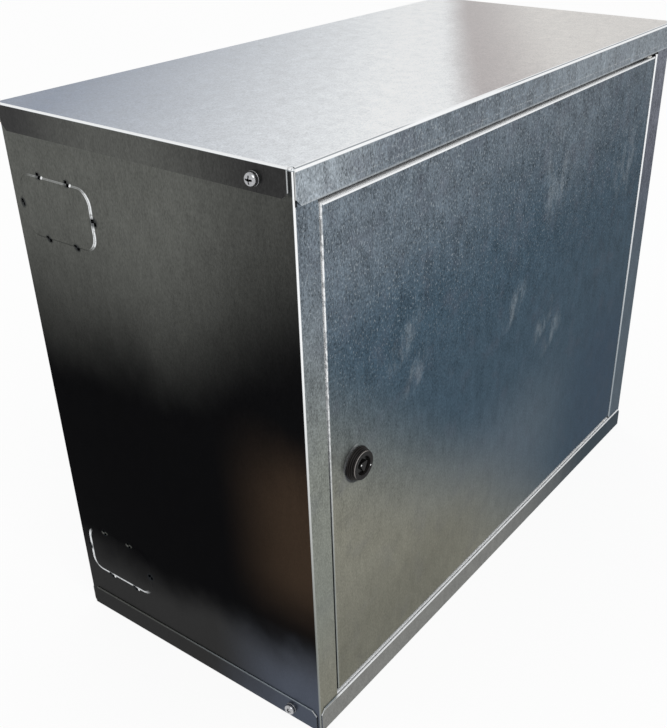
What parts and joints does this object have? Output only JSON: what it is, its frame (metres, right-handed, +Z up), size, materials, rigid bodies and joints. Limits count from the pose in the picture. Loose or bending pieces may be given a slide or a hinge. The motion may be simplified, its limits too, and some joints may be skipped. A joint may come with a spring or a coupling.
{
  "type": "water meter box",
  "caption": "Galvanised sheet wall box for a water meter, with a hinged lockable door, screwed top cover and bottom tray, and pipe knock-outs in its sides.",
  "frame": {"origin": "middle of the box's underside", "axes": "+X to the right of the door, +Y from the door into the wall, +Z up"},
  "size_m": [0.6108, 0.2943, 0.48],
  "materials": {
    "galvanised_sheet": "galvanised sheet, satin, faint spangle",
    "screw_zinc": "bright zinc",
    "lock_black": "black moulded plastic",
    "core_zinc": "black lacquered zinc casting",
    "cam_steel": "zinc-plated steel",
    "washer_plastic": "natural nylon"
  },
  "bodies": {
    "box": {"body_shell": "galvanised_sheet", "top_cover": "galvanised_sheet", "bottom_tray": "galvanised_sheet", "header_rail": "galvanised_sheet", "sill_rail": "galvanised_sheet", "upper_hinge_pin": "screw_zinc", "lower_hinge_pin": "screw_zinc", "lower_hinge_washer": "washer_plastic", "cover_screw_left": "screw_zinc", "cover_screw_right": "screw_zinc", "cover_screw_rear_left": "screw_zinc", "cover_screw_rear_right": "screw_zinc", "tray_screw_left": "screw_zinc", "tray_screw_right": "screw_zinc", "tray_screw_rear_left": "screw_zinc", "tray_screw_rear_right": "screw_zinc"},
    "door": {"door_panel": "galvanised_sheet", "upper_hinge_washer": "washer_plastic", "lock_housing": "lock_black", "lock_nut": "lock_black"},
    "lock_rotor": {"lock_core": "core_zinc", "lock_cam": "cam_steel", "cam_washer": "screw_zinc", "cam_screw": "screw_zinc"}
  },
  "joints": [
    {"name": "door_hinge", "type": "hinge", "parent": "box", "child": "door", "pos_m": [0.2565, -0.1339, 0.24], "axis": [0, 0, 1], "range_deg": [0, 120]},
    {"name": "lock_turn", "type": "hinge", "parent": "door", "child": "lock_rotor", "pos_m": [-0.2415, -0.1409, 0.24], "axis": [0, 1, 0], "range_deg": [0, 90]}
  ]
}
